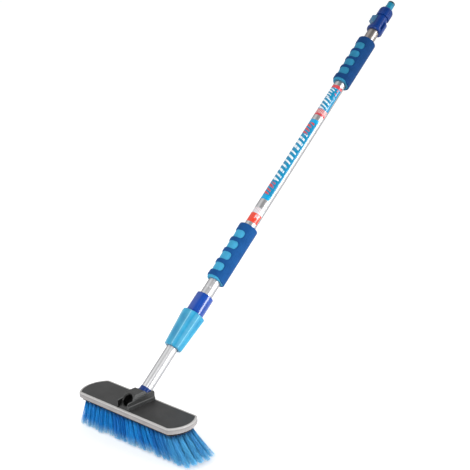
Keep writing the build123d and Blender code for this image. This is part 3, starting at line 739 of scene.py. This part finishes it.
def makeNut():
    # Slightly hollow facets. Between two ridges the flat is cos(half pitch) / cos(angle from the flat's
    # middle), less a sine-squared hollow; bell curves of the angle from a ridge ease it, give it a painted
    # highlight and dip both ends; each end is rounded by a quarter circle
    columns = nut["facets"] * nut["facetSteps"]
    rows = nut["rows"]
    angle = np.linspace(0, 2 * pi, columns, endpoint=False)
    pitch = 2 * pi / nut["facets"]
    fromRidge = np.abs((angle - radians(nut["firstRidge"]) + pitch / 2) % pitch - pitch / 2)
    flat = cos(pitch / 2) / np.cos(pitch / 2 - fromRidge)
    hollow = nut["hollow"] * np.sin(pi * fromRidge / pitch) ** 2
    ridge = np.exp(-(fromRidge / radians(nut["ridgeSpread"])) ** 2)
    halo = np.exp(-(fromRidge / radians(nut["paleSpread"])) ** 2)
    pale = (1 - nut["paleShare"]) * ridge + nut["paleShare"] * halo
    share = np.linspace(0, 1, rows)
    along = nut["start"] + share * (nut["end"] - nut["start"])
    radius = nut["smallRadius"] + share * (nut["largeRadius"] - nut["smallRadius"])
    fromEnd = np.minimum(along - nut["start"], nut["end"] - along)
    intoRim = np.clip(nut["rim"] - fromEnd, 0, None)
    ease = nut["rim"] - np.sqrt(np.clip(nut["rim"] ** 2 - intoRim ** 2, 0, None))
    skin = radius[:, None] * flat - hollow - nut["ridgeRound"] * ridge - ease[:, None]
    dip = nut["endNick"] * np.exp(-(fromRidge / radians(nut["endNickSpread"])) ** 2)
    nearEnd = 1 - smoothStep(fromEnd, 0, nut["endNickLength"])
    place = along[:, None] + dip * (1 - 2 * share[:, None]) * nearEnd[:, None]
    inside = np.array(nut["inside"])
    radii = np.concatenate([skin, np.repeat(inside[:, :1], columns, 1)])
    places = np.concatenate([place, np.repeat(inside[:, 1:], columns, 1)])
    points = roundPoints(radii, places, angle[None, :])
    faces = gridFaces(rows + len(inside), columns, True)
    piece = meshPiece("lockNutFluted", points, faces, looks["nut"], "lock_nut")
    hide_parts("lock_nut")
    # The painted highlight, carried to the material by the ridge attribute
    paintedHighlight = np.concatenate([np.repeat(pale[None, :], rows, 0), np.zeros((len(inside), columns))])
    floatAttribute(piece, "ridge", paintedHighlight)


makeNut()
print("lock nut made")


# Bristles

# Lengths in millimetres; a jitter is a normal spread along the head, across it and upwards
bristles = {
    "rows": 5,
    "rootPitch": 11.0,
    "tipPitch": 13.0,
    "rootHeight": 56.0,
    "tuftPitch": 11.6,
    "tuftRadius": 2.7,
    "tipRadius": 5.6,
    "filaments": 110,
    "segments": 6,
    "thickness": 0.30,
    "endInset": 9.0,
    "leanLeft": 8.5,
    "leanRight": 44.0,
    "liftRight": 6.0,
    "halfLength": 125.0,
    "endBulge": 15.0,
    "halfWidth": 33.0,
    "rowInset": 3,
    "rowShift": 1.5,
    "tuftJitter": (1.6, 1.2, 0.9),
    "tipJitter": (1.5, 1.5, 1.6),
    "liftPower": 1.6,
    "cup": 1.4,
    "strayShare": 0.03,
    "straySide": (2, 6),
    "strayLift": (0, 5),
    "edgeOut": 1.5,
    "bow": 0.9,
    "curve": 1.25,
    "taper": 0.55,
    "tuftTone": 0.55,
}


def rowReach(rootY):
    # Half length of a row: the head's end is an arc through its bulge and both sides, less the inset
    bulge = bristles["endBulge"]
    arc = (bristles["halfWidth"] ** 2 + bulge ** 2) / (2 * bulge)
    return bristles["halfLength"] + bulge - arc + (arc ** 2 - rootY ** 2) ** 0.5 - bristles["endInset"]


def bristleRow(index):
    # Filaments of one row: each runs from a root in its tuft to a tip that spreads and leans. Sideways it
    # follows a power of the share of its length, with a small sine bow; it thins by the share squared
    step = index - (bristles["rows"] - 1) / 2
    rootY = step * bristles["rootPitch"]
    tipY = step * bristles["tipPitch"]
    reach = rowReach(rootY)
    count = int(round(2 * reach / bristles["tuftPitch"]))
    inner = reach - bristles["rowInset"]
    places = np.linspace(-inner, inner, count) + (index % 2) * bristles["rowShift"]
    share = (places / reach + 1) / 2
    tuftTipX = places - bristles["leanLeft"] + share * (bristles["leanLeft"] + bristles["leanRight"])
    jitterX, jitterY, jitterZ = bristles["tuftJitter"]
    tuftTipX = tuftTipX + rng.normal(0, jitterX, count)
    tuftTipY = tipY + rng.normal(0, jitterY, count)
    lift = bristles["liftRight"] * np.clip(share, 0, 1) ** bristles["liftPower"]
    tuftTipZ = lift + rng.normal(0, jitterZ, count)
    per = bristles["filaments"]
    turn = rng.uniform(0, 2 * pi, (count, per))
    spread = np.sqrt(rng.uniform(0, 1, (count, per)))
    rootX = places[:, None] + spread * bristles["tuftRadius"] * np.cos(turn)
    rootYs = rootY + spread * bristles["tuftRadius"] * np.sin(turn)
    across = spread * bristles["tipRadius"]
    jitterX, jitterY, jitterZ = bristles["tipJitter"]
    tipXs = tuftTipX[:, None] + across * np.cos(turn) + rng.normal(0, jitterX, turn.shape)
    tipYs = tuftTipY[:, None] + across * np.sin(turn) + rng.normal(0, jitterY, turn.shape)
    tipZs = tuftTipZ[:, None] + np.abs(rng.normal(0, jitterZ, turn.shape)) + spread ** 2 * bristles["cup"]
    stray = rng.uniform(0, 1, turn.shape) < bristles["strayShare"]
    outward = np.sign(places)[:, None] * rng.uniform(*bristles["straySide"], turn.shape)
    tipXs = tipXs + np.where(stray, outward, 0)
    tipZs = tipZs + np.where(stray, rng.uniform(*bristles["strayLift"], turn.shape), 0)
    edge = np.abs(step) == (bristles["rows"] - 1) / 2
    tipYs = np.where(edge, tipYs + np.sign(step) * bristles["edgeOut"], tipYs)
    root = np.stack([rootX, rootYs, np.full_like(rootX, bristles["rootHeight"])], -1).reshape(-1, 3)
    tip = np.stack([tipXs, tipYs, tipZs], -1).reshape(-1, 3)
    bow = rng.normal(0, bristles["bow"], (len(root), 2))
    t = np.linspace(0, 1, bristles["segments"] + 1)
    sideways = t ** bristles["curve"]
    shares = np.stack([sideways, sideways, t], -1)
    line = root[:, None, :] + (tip - root)[:, None, :] * shares[None, :, :]
    line[..., :2] += np.sin(pi * t)[None, :, None] * bow[:, None, :]
    taper = bristles["thickness"] * (1 - bristles["taper"] * t ** 2)
    corner = np.arange(3) * 2 * pi / 3 + rng.uniform(0, 2, (len(root), 1))
    ring = np.stack([np.cos(corner), np.sin(corner), np.zeros_like(corner)], -1)
    points = line[:, :, None, :] + ring[:, None, :, :] * taper[None, :, None, None]
    single = gridFaces(len(t), 3, False)
    stride = len(t) * 3
    faces = (single[None] + (np.arange(len(root)) * stride)[:, None, None]).reshape(-1, 4)
    name = "bristleTufts" + str(index + 1)
    piece = meshPiece(name, points * mm, faces, looks["bristle"], "brush_head")
    tuftShade = np.repeat(rng.uniform(0, 1, count), per)
    ownShade = rng.uniform(0, 1, len(root))
    shade = bristles["tuftTone"] * tuftShade + (1 - bristles["tuftTone"]) * ownShade
    floatAttribute(piece, "shade", np.repeat(shade, stride))
    floatAttribute(piece, "tip", np.tile(np.repeat(t, 3), len(root)))
    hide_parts("bristle_row_" + str(index + 1))


for rowIndex in range(bristles["rows"]):
    bristleRow(rowIndex)
print("bristles made")


# Floor and light

studio = {
    "floor": (0.90, 0.90, 0.90),
    "floorGlow": 0.38,
    "floorReach": 30,
    "floorHeight": -0.0005,
    "ambient": 0.62,
    "panels": [
        {"aim": (0.504, -0.242, 0.828), "edge": (0.80, 0.99), "power": -0.48},
        {"aim": (0.93, 0.34, 0.14), "edge": (0.968, 0.980), "power": 14.0},
        {"aim": (-0.40, -0.28, 0.87), "edge": (0.90, 0.98), "power": 0.45},
        {"aim": (-0.75, -0.55, 0.35), "edge": (0.80, 0.95), "power": 0.4},
    ],
    "lamps": [
        {"name": "keyLight", "place": (1.6, -1.6, 2.2), "power": 23, "width": 1.4},
        {"name": "fillLight", "place": (-1.4, -2.0, 2.0), "power": 13, "width": 1.6},
    ],
    "lampTarget": (0, 0.35, 0.3),
}


def studioWorld():
    # Light by direction: an even ambient with darker and brighter panels, each a smooth step of the dot
    # product of the direction with the panel's aim
    world = bpy.data.worlds.new("studioWorld")
    world.use_nodes = True
    tree = world.node_tree
    coordinates = tree.nodes.new("ShaderNodeTexCoord")

    def facing(aim, low, high, value):
        dot = tree.nodes.new("ShaderNodeVectorMath")
        dot.operation = "DOT_PRODUCT"
        dot.inputs[1].default_value = Vector(aim).normalized()
        tree.links.new(coordinates.outputs["Generated"], dot.inputs[0])
        step = tree.nodes.new("ShaderNodeMapRange")
        step.interpolation_type = "SMOOTHSTEP"
        tree.links.new(dot.outputs["Value"], step.inputs["Value"])
        step.inputs["From Min"].default_value = low
        step.inputs["From Max"].default_value = high
        step.inputs["To Min"].default_value = 0
        step.inputs["To Max"].default_value = value
        return step.outputs[0]

    def total(first, second):
        added = tree.nodes.new("ShaderNodeMath")
        added.operation = "ADD"
        tree.links.new(first, added.inputs[0])
        if isinstance(second, float):
            added.inputs[1].default_value = second
        else:
            tree.links.new(second, added.inputs[1])
        return added.outputs[0]

    strength = studio["ambient"]
    for panel in studio["panels"]:
        strength = total(facing(panel["aim"], *panel["edge"], panel["power"]), strength)
    tree.links.new(strength, tree.nodes["Background"].inputs["Strength"])
    tree.nodes["Background"].inputs["Color"].default_value = (1, 1, 1, 1)
    bpy.context.scene.world = world


def makeStudio():
    reach = studio["floorReach"]
    corners = [(x * reach, y * reach, studio["floorHeight"]) for x, y in ((-1, -1), (1, -1), (1, 1), (-1, 1))]
    data = bpy.data.meshes.new("studioFloor")
    data.from_pydata(corners, [], [(0, 1, 2, 3)])
    floor = bpy.data.objects.new("studioFloor", data)
    bpy.context.scene.collection.objects.link(floor)
    look = Look("studioFloorPaint", Base_Color=(*studio["floor"], 1), Roughness=0.9,
                Emission_Color=(1, 1, 1, 1), Emission_Strength=studio["floorGlow"])
    data.materials.append(look.material)
    studioWorld()
    for light in studio["lamps"]:
        lamp = bpy.data.lights.new(light["name"], "AREA")
        lamp.energy = light["power"]
        lamp.size = light["width"]
        obj = bpy.data.objects.new(light["name"], lamp)
        obj.location = light["place"]
        obj.rotation_mode = "QUATERNION"
        aim = Vector(studio["lampTarget"]) - obj.location
        obj.rotation_quaternion = aim.to_track_quat("-Z", "Y")
        bpy.context.scene.collection.objects.link(obj)
    bpy.context.scene.view_settings.view_transform = "Standard"


makeStudio()
